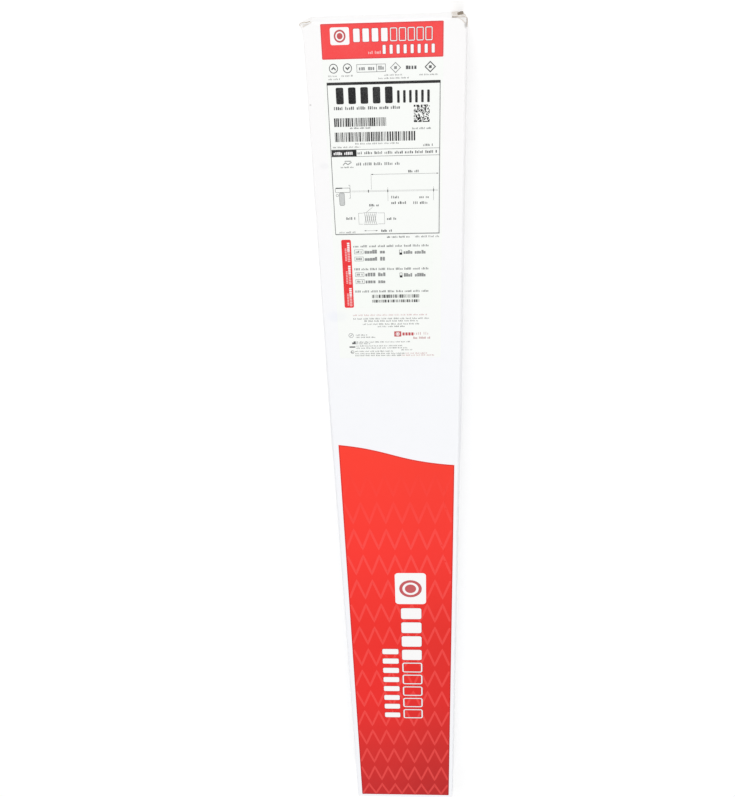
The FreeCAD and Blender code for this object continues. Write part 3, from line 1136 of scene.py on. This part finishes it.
    def painted_shade_slot(self) -> None:
        """Adds a dark plug at the labelled end's right foot, where the flaps stand off: painted shade in
        place of the shadowed opening.
        """
        gap = np.array(self.shade_slot_outline)
        inner = np.stack([gap[:, 0], np.full(len(gap), SIZES.end - 2 * SIZES.board), gap[:, 1]], axis=1)
        outer = inner + [0.0, SIZES.board + 0.03, 0.0]
        outer[:, 1] += self._spring(outer[:, 0], outer[:, 1], outer[:, 2])
        # Its faces are painted dark brown as the shade inside the opening.
        self.surface.outline(outer, raw=1.0, grime_and_shade=0.8)
        self.surface.outline(inner[::-1], raw=1.0, grime_and_shade=0.5)
        self.surface.grid(np.stack([outer, inner]), closed=True, flip=True, raw=1.0, grime_and_shade=0.5)

    def _strip(self, rim: Flat) -> None:
        """Adds a standing strip of board along a path, with its raw edge up.

        Args:
            rim: Rows of x, y, the top's and the foot's z, how much fibre shows on the two faces and on
            the top edge, and how much grime and painted shade darken the top edge.
        """
        path = np.array(rim)[:, :2]
        top, foot, raw, edge, grime_and_shade = np.array(rim)[:, 2:].T
        step = np.gradient(path, axis=0)
        step /= np.linalg.norm(step, axis=1, keepdims=True)
        normal = np.stack([-step[:, 1], step[:, 0]], axis=1) * SIZES.board / 2
        brow = np.maximum(top - SIZES.board, foot)
        loop = ((1, foot), (1, brow), (1, top), (-1, top), (-1, brow), (-1, foot))
        rows = np.stack([np.column_stack([path + hand * normal, z]) for hand, z in loop], axis=1)
        raws = np.column_stack([raw, raw, edge, edge, raw, raw])
        grime_and_shade_values = grime_and_shade[:, None] * np.array([0.0, 0.3, 1.0, 1.0, 0.3, 0.0])
        self.surface.grid(rows, closed=True, raw=raws, grime_and_shade=grime_and_shade_values)
        self.surface.outline(rows[0][::-1], 0, raws[0][::-1], grime_and_shade_values[0][::-1])
        self.surface.outline(rows[-1], 0, raws[-1], grime_and_shade_values[-1])

    def build(self, shelf: Shelf) -> bpy.types.Object:
        """Builds the whole shell and puts it in the CAD carton's place."""
        self.tube()
        self.front()
        self.back_flaps()
        self.corners()
        self.painted_shade_slot()
        piece = self.surface.write("carton_shell", [shelf.take(self.finish)], "carton_board", painted=True)
        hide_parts("carton")
        return piece


# The print


@dataclass(frozen=True)
class Word:
    """A row of even upright blocks that stands for a word.

    Blocks follow each other across, or down the carton. They are solid, or a line round each where line
    is given, and fill is how much of its pitch a block takes.
    """

    box: Box
    count: int
    fill: float
    down: bool = False
    line: float = 0.0

    def stamp(self, press: Press, ink: Ink, layer: int = 1, spread: float = 0.0) -> None:
        """Prints the blocks in one ink on one layer, each grown on every side by the spread."""
        left, top, right, bottom = self.box
        long = bottom - top if self.down else right - left
        pitch = long / (self.count - 1 + self.fill)
        corner = 0.1 * pitch + spread
        for number in range(self.count):
            near, far = number * pitch, (number + self.fill) * pitch
            if self.down:
                block = (left - spread, top + near - spread, right + spread, top + far + spread)
            else:
                block = (left + near - spread, top - spread, left + far + spread, bottom + spread)
            if self.line:
                press.frame(ink, block, self.line + 2 * spread, corner, layer)
            else:
                press.rounded(ink, block, corner, layer, 3)

    def stamp_on_red(self, press: Press, layer: int, spread: float) -> None:
        """Prints the blocks in white over a darker rim that stands out round them by the spread."""
        self.stamp(press, Ink.RIM, layer, spread)
        self.stamp(press, Ink.WHITE, layer + 1)


class Print:
    """One printed piece: its name, its seed of chance, its plane and its material slot."""

    name: ClassVar[str]
    seed: ClassVar[int]
    plane: ClassVar[Plane] = LABEL
    slot: ClassVar[str] = "label_paper"

    def draw(self, press: Press) -> None:
        """Prints the piece's shapes; each kind of print has its own."""
        raise NotImplementedError

    def build(self, shelf: Shelf) -> bpy.types.Object:
        """Draws the shapes on the plane and writes them as one piece."""
        press = Press(self.plane, self.seed)
        self.draw(press)
        return press.write(self.name, shelf, self.slot)


@dataclass
class PanelPrint(Print):
    """The red panel: its curved top, its rows of even zigzag lines, a white tile and block words."""

    name = "panel_print"
    seed = 3
    plane = FACE
    slot = "carton_board"
    left: float = 6.0
    right: float = 130.6
    foot: float = 1004.3
    corner: float = 1.6
    top_curve: tuple[tuple[float, float], ...] = (
        (6.0, 410.05), (63.3, 417.1), (65.4, 430.35), (130.0, 436.7))
    length: float = 570.0
    foot_rows: tuple[float, ...] = (2.4, 1.2, 0.5, 0.0)
    row_pitch: float = 38.0
    row_height: float = 27.0
    row_count: int = 15
    first_row: float = 449.5
    row_indent: float = 1.5
    side_room: float = 3.6
    foot_room: float = 2.6
    periods: float = 6.5
    line: float = 2.9
    edge_line: float = 1.3
    tile: Box = (62.2, 589.3, 99.2, 638.2)
    words: tuple[Word, ...] = (
        Word((68.6, 645.0, 93.3, 733.0), 4, 0.76, True),
        Word((68.5, 738.0, 93.9, 842.0), 5, 0.8, True, 1.5),
        Word((43.8, 714.0, 64.0, 840.4), 8, 0.54, True))

    def field(self, press: Press) -> None:
        """Prints the red field as a grid, with a slightly darker line of heavier ink round its edge.

        Columns run evenly across, and each runs down from the curve to the foot. Near the foot the two
        sides draw in by a quarter circle.
        """
        curve = bezier(self.top_curve, 200)
        share = MARKS.columns(self.left - SIZES.side, self.right - SIZES.side, 79)[None, :]
        last = 1 - np.array(self.foot_rows) / self.length
        down = np.unique(np.concatenate([np.linspace(0.0, 1.0, 190)[:-1], last]))[:, None]
        start = np.interp(self.left + share * (self.right - self.left), curve[:, 0], curve[:, 1])
        v = start + down * (self.foot - start)
        near = np.clip(self.corner - (self.foot - v), 0.0, self.corner)
        draw = self.corner - np.sqrt(self.corner ** 2 - near ** 2)
        u = self.left + draw + share * (self.right - self.left - 2 * draw - 0.5 * down)
        flat = np.stack([u, v], axis=-1)
        press.surface.grid(press.plane.lift(flat, 2 * INK_STEP), press.slot(Ink.PANEL), flip=True)
        aside, along = np.array([self.edge_line / 2, 0.0]), np.array([0.0, self.edge_line / 2])
        rim = np.concatenate([flat[0, 1:-1] + along, flat[1:-1, -1] - aside, flat[-1, -2:0:-1] - along,
                              flat[-2:0:-1, 0] + aside])
        press.stroke(Ink.PANEL_EDGE, rim, self.edge_line, 4, closed=True)

    def zigzags(self, press: Press) -> None:
        """Prints the rows of zigzag lines: a triangle wave across, each second row shifted half a wave."""
        wave = (self.right - self.left - self.side_room) / self.periods
        u = np.arange(0.0, self.periods + 0.001, 0.0625) * wave
        for row in range(self.row_count):
            phase = (u / wave + 0.5 * (row % 2)) % 1.0
            top = self.first_row + row * self.row_pitch
            v = top + min(self.row_height, self.foot - self.foot_room - top) * np.abs(2 * phase - 1)
            press.stroke(Ink.PANEL_LINE, np.stack([self.left + self.row_indent + u, v], axis=1), self.line, 3)

    def draw(self, press: Press) -> None:
        """Prints the panel on the carton's face."""
        self.field(press)
        self.zigzags(press)
        press.tile(Ink.WHITE, Ink.DARK_RED, self.tile, 4.2, 13.5, 5)
        for word in self.words:
            word.stamp_on_red(press, 4, 0.5)


@dataclass
class BannerPrint(Print):
    """The label's red banner, full to its edges, with a white tile and three block words."""

    name = "banner_print"
    seed = 5
    box: Box = (0.1, 0.34, 101.5, 27.4)
    tile: Box = (7.8, 3.1, 23.7, 16.4)
    words: tuple[Word, ...] = (
        Word((27.0, 4.5, 55.4, 14.5), 4, 0.69),
        Word((57.5, 4.4, 92.4, 14.6), 5, 0.8, False, 0.65),
        Word((51.1, 17.3, 94.2, 24.1), 8, 0.42))

    def draw(self, press: Press) -> None:
        """Prints the banner on the label."""
        press.rounded(Ink.RED, self.box, 0.8)
        press.frame(Ink.RED_EDGE, self.box, 0.9, 0.8, 2)
        press.tile(Ink.WHITE, Ink.DARK_RED, self.tile, 1.6, 4.9, 2)
        for word in self.words:
            word.stamp_on_red(press, 2, 0.3)
        press.dummy(Ink.PALE_RED, (39.0, 21.6, 50.0, 23.9), 0.6, 2)


@dataclass
class HeaderPrint(Print):
    """Plain symbols under the banner, the black frame, the headline blocks, bars and cells."""

    name = "header_print"
    seed = 7
    frame_left: float = 3.0
    frame_right: float = 99.0
    frame_top: float = 46.5
    frame_foot: float = 177.5
    rules: tuple[float, ...] = (101.0, 107.0)
    dials: float = 34.5

    def symbols(self, press: Press) -> None:
        """Prints plain symbols: two dialled circles, a divided box, two lozenges and short type."""
        for x, tick in ((9.2, 0.8), (21.0, -0.8)):
            press.ring(Ink.TEXT, (x, self.dials), 3.8, 0.65)
            hand = [(x - 1.6, self.dials + tick), (x, self.dials - tick), (x + 1.8, self.dials + 1.4 * tick)]
            press.stroke(Ink.TEXT, hand, 1.1)
        press.frame(Ink.GREY, (28.7, 31.6, 53.3, 38.0), 0.45)
        press.stroke(Ink.GREY, [(45.6, 31.8), (45.6, 37.8)], 0.45)
        press.lines(Ink.GREY, 0.7, (30.6, 33.1, 44.2, 36.3), (47.0, 33.1, 52.0, 36.3))
        press.lines(Ink.TEXT, 0.7, (70.2, 32.6, 81.9, 36.4))
        for x, ink, line in ((61.5, Ink.GREY, 0.6), (90.6, Ink.TEXT, 0.85)):
            press.stroke(ink, [(x, 30.9), (x + 4.2, 34.9), (x, 38.8), (x - 4.2, 34.9)], line, closed=True)
            press.blocks(ink, [(x - 1.2, 33.8, x + 1.2, 36.0)])
        press.lines(Ink.GREY, 0.5, (4.4, 39.7, 12.9, 41.0), (4.4, 42.2, 14.4, 43.5), (15.5, 39.7, 25.3, 41.0),
                    (51.9, 39.9, 67.1, 41.1), (46.8, 42.3, 72.9, 43.6), (81.4, 40.2, 97.4, 41.5))

    def frame(self, press: Press) -> None:
        """Prints the frame: a thick top bar, thin sides, a grey foot and two rules."""
        left, right, top, foot = self.frame_left, self.frame_right, self.frame_top, self.frame_foot
        press.blocks(Ink.BLACK, [(left - 0.3, top - 1.1, right + 0.3, top + 1.15)])
        press.stroke(Ink.TEXT, [(left, top), (left, foot)], 0.55)
        press.stroke(Ink.GREY, [(right, top), (right, foot)], 0.8)
        press.stroke(Ink.GREY, [(left, foot), (right + 0.4, foot)], 1.0)
        for rule in self.rules:
            press.stroke(Ink.GREY, [(left, rule), (right, rule)], 0.45)

    def headline(self, press: Press) -> None:
        """Prints the headline as heavy and light blocks, and the line under it."""
        Word((10.1, 49.6, 58.6, 63.0), 5, 0.62).stamp(press, Ink.BLACK)
        Word((62.4, 52.8, 90.2, 62.9), 6, 0.42).stamp(press, Ink.BLACK)
        press.lines(Ink.TEXT, 0.55, (7.8, 65.1, 65.0, 67.7))

    def codes(self, press: Press) -> None:
        """Prints the square of cells and the two runs of bars, drawn by chance."""
        press.checks(Ink.BLACK, (76.5, 64.8, 90.1, 79.0), 18, 0.5)
        press.lines(Ink.GREY, 0.5, (75.1, 83.3, 91.6, 85.0))
        press.bars(Ink.BLACK, (7.3, 74.4, 52.4, 81.6), 34)
        press.lines(Ink.GREY, 0.66, (20.8, 82.2, 38.8, 83.6))
        press.bars(Ink.BLACK, (7.3, 86.3, 77.6, 94.3), 50)
        press.lines(Ink.GREY, 0.5, (24.9, 95.4, 63.3, 96.8))
        press.lines(Ink.TEXT, 0.5, (84.6, 97.3, 93.4, 99.2))
        press.lines(Ink.GREY, 0.5, (5.1, 98.2, 29.6, 99.5))

    def draw(self, press: Press) -> None:
        """Prints the header on the label."""
        self.symbols(press)
        self.frame(press)
        self.headline(press)
        self.codes(press)
        press.blocks(Ink.BLACK, [(3.6, 101.2, 25.7, 106.8)])
        press.dummy(Ink.WHITE, (5.4, 102.9, 24.2, 105.4), 0.68, 2)
        press.lines(Ink.TEXT, 0.55, (26.6, 102.8, 96.9, 105.2))


@dataclass
class DeviceDrawing(Print):
    """A plain line drawing of a handle, a shaft and a braided tube, with dimension lines."""

    name = "drawing_print"
    seed = 11
    shaft: float = 137.8
    shaft_left: float = 19.5
    shaft_right: float = 98.0
    braid: Box = (30.6, 157.8, 41.4, 168.0)

    def handle(self, press: Press) -> None:
        """Prints the handle as outlined boxes, and the shaft as two thin lines."""
        press.frame(Ink.GREY, (4.8, 134.4, 18.6, 138.8), 0.45, 0.9)
        press.blocks(Ink.TEXT, [(5.6, 134.2, 11.4, 135.2)], 2)
        press.rounded(Ink.PALE_GREY, (8.4, 139.0, 13.0, 150.4), 1.2)
        press.frame(Ink.GREY, (8.2, 138.8, 13.2, 150.6), 0.4, 1.2, 2)
        press.ring(Ink.GREY, (6.6, 141.2), 1.3, 0.4)
        press.stroke(Ink.GREY, [(17.0, 132.1), (18.4, 132.1), (18.4, 143.9), (17.0, 143.9)], 0.35)
        for height in (self.shaft - 0.45, self.shaft + 0.45):
            press.stroke(Ink.GREY, [(self.shaft_left, height), (self.shaft_right, height)], 0.18)
        for x in (35.0, 52.5, 93.8):
            press.blocks(Ink.BLACK, [(x - 0.35, self.shaft - 1.2, x + 0.35, self.shaft + 1.2)])

    def dimensions(self, press: Press) -> None:
        """Prints the dimension lines, their leaders and arrowheads, and dummy figures."""
        for start, end, height in ((37.8, 98.2, 122.9), (29.8, 42.4, 174.3)):
            press.stroke(Ink.GREY, [(start, height), (end, height)], 0.3)
            for x, back in ((start, start + 1.8), (end, end - 1.8)):
                press.shape(Ink.TEXT, [(x, height), (back, height - 0.6), (back, height + 0.6)])
        for x, top, foot in ((37.8, 122.9, 136.4), (52.5, 134.5, 147.0), (93.8, 134.5, 147.0)):
            press.stroke(Ink.GREY, [(x, top), (x, foot)], 0.25)
        press.lines(Ink.TEXT, 0.52, (55.5, 142.4, 64.6, 144.7), (55.5, 147.5, 71.0, 149.9),
                    (81.0, 142.7, 89.8, 145.0), (75.5, 147.8, 90.4, 150.2))
        press.lines(Ink.TEXT, 0.62, (71.2, 119.6, 81.0, 121.8), (13.7, 161.4, 22.6, 163.7),
                    (51.2, 162.1, 60.1, 164.4), (35.3, 149.5, 44.4, 151.7), (45.6, 173.4, 55.8, 175.6))

    def tube(self, press: Press) -> None:
        """Prints the braided tube: two crossing runs of lines between two rails, and a bracket each side."""
        left, top, right, foot = self.braid
        u = np.linspace(0.0, 1.0, 25)
        for turn in (0.0, 0.5):
            wave = np.abs(2 * ((u * 3 + turn) % 1.0) - 1)
            run = np.stack([left + u * (right - left), top + wave * (foot - top)], axis=1)
            press.stroke(Ink.GREY, run, 0.35)
        for height in (top - 0.4, foot + 0.4):
            press.stroke(Ink.GREY, [(left - 1.0, height), (right + 1.0, height)], 0.35)
        press.stroke(Ink.GREY, [(38.0, 152.6), (32.4, 157.0)], 0.35)
        for inner, outer in ((left - 1.6, 25.2), (right + 1.6, 49.0)):
            press.stroke(Ink.GREY, [(inner, top), (outer, top), (outer, foot), (inner, foot)], 0.3)

    def draw(self, press: Press) -> None:
        """Prints the drawing on the label."""
        self.handle(press)
        self.dimensions(press)
        self.tube(press)
        press.rounded(Ink.GREY, (14.6, 110.6, 20.6, 111.3), 0.35)
        press.stroke(Ink.GREY, [(13.2, 114.4), (15.2, 112.3), (17.6, 113.9), (20.8, 111.9)], 0.8)
        press.lines(Ink.GREY, 0.7, (11.0, 115.6, 22.6, 116.9))
        press.lines(Ink.GREY, 0.58, (25.0, 112.4, 64.2, 114.9))
        press.lines(Ink.GREY, 0.5, (6.5, 174.7, 22.0, 176.4))
        press.lines(Ink.TEXT, 0.55, (50.7, 179.6, 72.0, 181.4))
        press.lines(Ink.GREY, 0.55, (76.8, 179.6, 99.2, 181.4))


@dataclass
class RecordPrint(Print):
    """The print of the three peel-off record labels, with the red strip at their left."""

    name = "record_print"
    seed = 13
    plane = RECORD
    slot = "record_label_paper"
    strip: Box = (7.8, 182.6, 16.9, 250.7)
    pitch: float = 22.5
    first: float = 187.9
    count: int = 3

    def words(self, press: Press, down: float) -> None:
        """Prints the upright words of one record label's part of the strip."""
        for left, top, right, foot, count, fill, ink in (
                (13.1, 185.4, 15.4, 194.0, 5, 0.72, Ink.WHITE),
                (13.1, 194.8, 15.4, 204.0, 6, 0.6, Ink.PALE_RED),
                (10.7, 191.0, 12.4, 203.2, 8, 0.6, Ink.PALE_RED)):
            Word((left, top + down, right, foot + down), count, fill, True).stamp(press, ink, 2)

    def entries(self, press: Press, top: float) -> None:
        """Prints one record label's small frames, type and block, from the top of its first line."""
        for line in (top + 4.3, top + 11.3):
            press.frame(Ink.GREY, (19.6, line, 28.1, line + 4.4), 0.4)
            press.lines(Ink.TEXT, 0.6, (21.0, line + 1.2, 26.8, line + 3.2))
            press.lines(Ink.GREY, 0.84, (29.2, line + 0.4, 48.6, line + 4.1))
        press.frame(Ink.GREY, (61.8, top + 5.0, 64.5, top + 8.2), 0.5)
        press.blocks(Ink.BLACK, [(62.0, top + 7.9, 64.6, top + 9.9)])
        press.lines(Ink.GREY, 0.84, (65.9, top + 5.6, 86.9, top + 9.1))

    def draw(self, press: Press) -> None:
        """Prints all record labels, of which the last has bars in place of entries."""
        press.rounded(Ink.DEEP_RED, self.strip, 1.5)
        for number in range(self.count):
            down = number * self.pitch
            top = self.first + down
            self.words(press, down)
            press.lines(Ink.GREY, 0.6, (18.9, top, 89.6, top + 2.2))
            if number < self.count - 1:
                self.entries(press, top)
        press.bars(Ink.BLACK, (34.9, 237.5, 80.3, 240.9), 36)
        press.bars(Ink.BLACK, (34.9, 242.7, 80.3, 245.6), 36)


@dataclass
class SmallPrint(Print):
    """The lines of small dummy type at the foot of the label, with plain symbols and a red tile."""

    name = "small_print"
    seed = 17
    reddish: tuple[Box, ...] = ((15.6, 257.9, 88.2, 259.5),)
    notices: tuple[Box, ...] = (
        (15.6, 261.7, 91.1, 263.3), (26.3, 264.2, 79.4, 265.8), (24.8, 267.5, 80.3, 269.1),
        (39.4, 270.1, 66.5, 271.7))
    small: tuple[Box, ...] = (
        (17.3, 279.2, 28.7, 280.6), (17.2, 281.7, 37.6, 283.1), (17.1, 286.9, 72.3, 288.3),
        (17.1, 288.7, 31.4, 290.0), (16.9, 291.2, 63.3, 292.5), (16.8, 293.5, 69.2, 294.9),
        (62.2, 295.8, 73.2, 297.1), (16.0, 297.1, 54.2, 298.5), (15.9, 299.6, 66.0, 301.0),
        (15.8, 301.8, 62.0, 303.2))
    red_ends: tuple[Box, ...] = ((66.5, 299.6, 88.2, 301.0), (62.5, 301.8, 95.2, 303.2))
    tile: Box = (55.5, 276.3, 62.5, 282.0)

    def draw(self, press: Press) -> None:
        """Prints the small type on the label."""
        press.lines(Ink.FAINT_RED, 0.45, *self.reddish)
        press.lines(Ink.GREY, 0.5, *self.notices)
        press.lines(Ink.GREY, 0.54, *self.small)
        press.lines(Ink.FAINT_RED, 0.5, *self.red_ends)
        press.ring(Ink.GREY, (12.6, 280.4), 2.5, 0.5)
        press.stroke(Ink.GREY, [(11.4, 281.4), (13.8, 279.4)], 0.7)
        press.blocks(Ink.TEXT, [(13.2, 288.0, 16.8, 289.9), (14.8, 286.7, 16.8, 288.0),
                                (10.4, 292.3, 16.2, 293.7)])
        press.ring(Ink.GREY, (13.2, 298.6), 1.9, 0.45)
        press.lines(Ink.GREY, 0.6, (12.0, 297.9, 14.6, 299.6))
        press.tile(Ink.DARK_RED, Ink.WHITE, self.tile, 0.5, 2.0, 1)
        Word((63.6, 277.6, 74.6, 280.9), 4, 0.76).stamp(press, Ink.DARK_RED)
        press.lines(Ink.FAINT_RED, 0.26, (75.3, 277.3, 90.2, 280.2))
        press.lines(Ink.FAINT_RED, 0.75, (74.3, 282.3, 91.2, 284.6))


@dataclass
class Labels:
    """The papers of the outer label and of the peel-off record labels, which stay CAD nodes."""

    outer: PaperFinish = PaperFinish(
        "label_stock", 0.45, 0.2, tone(249, 251, 248),
        spots=(Spot((-50.0, 244.0, 50.2), (12.0, 10.0, 3.0), tone(240, 243, 246), 0.4),))
    record: PaperFinish = PaperFinish("record_stock", 0.45, 0.2, tone(248, 251, 247))

    def dress(self, nodes: Mapping[str, bpy.types.Object], shelf: Shelf) -> None:
        """Gives each label node its paper."""
        for name, node in nodes.items():
            if name == "carton":
                continue
            paper = self.outer if name == "main_label" else self.record
            for place in node.material_slots:
                place.material = shelf.take(paper)
            LOG.info("%s: dressed in %s", name, paper.name)


# The studio


@dataclass
class Studio:
    """Pale floor, soft light and the camera at the photograph's place.

    The camera's stand is in millimetres, its middle is in pixels, and all other lengths are in metres.
    """

    picture: tuple[int, int] = (735, 797)
    focal: float = 850.0
    middle: tuple[float, float] = (377.55, 438.78)
    sensor: float = 36.0
    stand: tuple[float, float, float] = (29.7, 578.96, 820.6)
    right: tuple[float, float, float] = (0.99853, -0.03394, -0.04225)
    down: tuple[float, float, float] = (-0.00663, -0.8503, 0.52626)
    floor_half: float = 6.0
    floor_drop: float = 0.0002
    floor_grey: float = 0.86
    floor_lift: float = 0.21
    far_lift: float = 0.46
    lift_from: float = 0.7
    lift_to: float = 2.4
    sky: float = 0.66
    lamps: tuple[tuple[str, tuple[float, float, float], float, float], ...] = (
        ("key_lamp", (-0.9, 2.25, 1.8), 1.8, 24.6),
        ("fill_lamp", (0.3, -1.4, 2.4), 1.8, 15.5),
        ("side_lamp", (1.9, 1.3, 0.9), 1.2, 5.0))

    def camera(self) -> None:
        """Sets the camera from its place, its two image axes and its principal point in pixels."""
        data = bpy.data.cameras.new("camera")
        wide, high = self.picture
        long = max(wide, high)
        data.sensor_width = self.sensor
        data.lens = self.focal / long * self.sensor
        data.shift_x = (wide / 2 - self.middle[0]) / long
        data.shift_y = (self.middle[1] - high / 2) / long
        data.clip_start, data.clip_end = 0.01, 50.0
        across = Vector(self.right).normalized()
        down = Vector(self.down)
        down = (down - across * down.dot(across)).normalized()
        ahead = across.cross(down)
        turn = Matrix((across, -down, -ahead)).transposed()
        camera = bpy.data.objects.new("camera", data)
        camera.matrix_world = Matrix.Translation(Vector(self.stand) * METRE) @ turn.to_4x4()
        bpy.context.scene.collection.objects.link(camera)
        bpy.context.scene.camera = camera

    def floor(self) -> None:
        """Lays the floor: pale paint that keeps shadows, lifted to white for the camera alone."""
        half = self.floor_half
        mesh = bpy.data.meshes.new("floor")
        mesh.from_pydata([(-half, -half, 0.0), (half, -half, 0.0), (half, half, 0.0), (-half, half, 0.0)], [],
                         [(0, 1, 2, 3)])
        piece = bpy.data.objects.new("floor", mesh)
        piece.location.z = -self.floor_drop
        bpy.context.scene.collection.objects.link(piece)
        material = bpy.data.materials.new("floor_paint")
        material.use_nodes = True
        graph = Graph(material.node_tree)
        shader = material.node_tree.nodes["Principled BSDF"]
        shader.inputs["Base Color"].default_value = (self.floor_grey, self.floor_grey, self.floor_grey, 1.0)
        shader.inputs["Roughness"].default_value = 0.9
        shader.inputs["Specular IOR Level"].default_value = 0.1
        rays = graph.add("ShaderNodeLightPath")
        seen = graph.math("MAXIMUM", rays.outputs["Is Camera Ray"], rays.outputs["Is Glossy Ray"])
        seen = graph.math("MAXIMUM", seen, rays.outputs["Is Transmission Ray"])
        away = graph.vector("LENGTH", graph.place()).outputs["Value"]
        lift = graph.ramp(away, self.lift_from, self.lift_to, self.floor_lift, self.far_lift)
        glow = graph.add("ShaderNodeEmission", {"Strength": graph.math("MULTIPLY", seen, lift)})
        both = graph.add("ShaderNodeAddShader", {0: shader.outputs[0], 1: glow.outputs[0]})
        graph.join(both.outputs[0], graph.tree.nodes["Material Output"], "Surface")
        mesh.materials.append(material)

    def world(self) -> None:
        """Makes an even sky that lights softly and looks white."""
        world = bpy.data.worlds.new("sky")
        bpy.context.scene.world = world
        world.use_nodes = True
        graph = Graph(world.node_tree)
        rays = graph.add("ShaderNodeLightPath")
        seen = graph.math("MAXIMUM", rays.outputs["Is Camera Ray"], rays.outputs["Is Transmission Ray"])
        strength = graph.math("ADD", graph.math("MULTIPLY", seen, 1.0 - self.sky), self.sky)
        ground = graph.tree.nodes["Background"]
        ground.inputs["Color"].default_value = (1.0, 1.0, 1.0, 1.0)
        graph.join(strength, ground, "Strength")

    def lamp(self, name: str, place: Sequence[float], size: float, watts: float) -> None:
        """Hangs one square soft lamp that faces the middle of the carton."""
        data = bpy.data.lights.new(name, "AREA")
        data.shape = "SQUARE"
        data.size = size
        data.energy = watts
        lamp = bpy.data.objects.new(name, data)
        lamp.location = place
        lamp.rotation_euler = (-Vector(place)).to_track_quat("-Z", "Y").to_euler()
        bpy.context.scene.collection.objects.link(lamp)

    def build(self) -> None:
        """Sets up everything but the object."""
        bpy.context.scene.view_settings.view_transform = "Standard"
        self.camera()
        self.floor()
        self.world()
        for name, place, size, watts in self.lamps:
            self.lamp(name, place, size, watts)


def main() -> None:
    """Builds the carton, its labels, its print and the studio in order."""
    logging.basicConfig(level=logging.INFO, format="%(message)s")
    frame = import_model()
    shelf = Shelf(Effects())
    Studio().build()
    Labels().dress(frame["nodes"], shelf)
    CartonShell().build(shelf)
    for part in (PanelPrint(), BannerPrint(), HeaderPrint(), DeviceDrawing(), RecordPrint(), SmallPrint()):
        part.build(shelf)


if __name__ == "__main__":
    main()
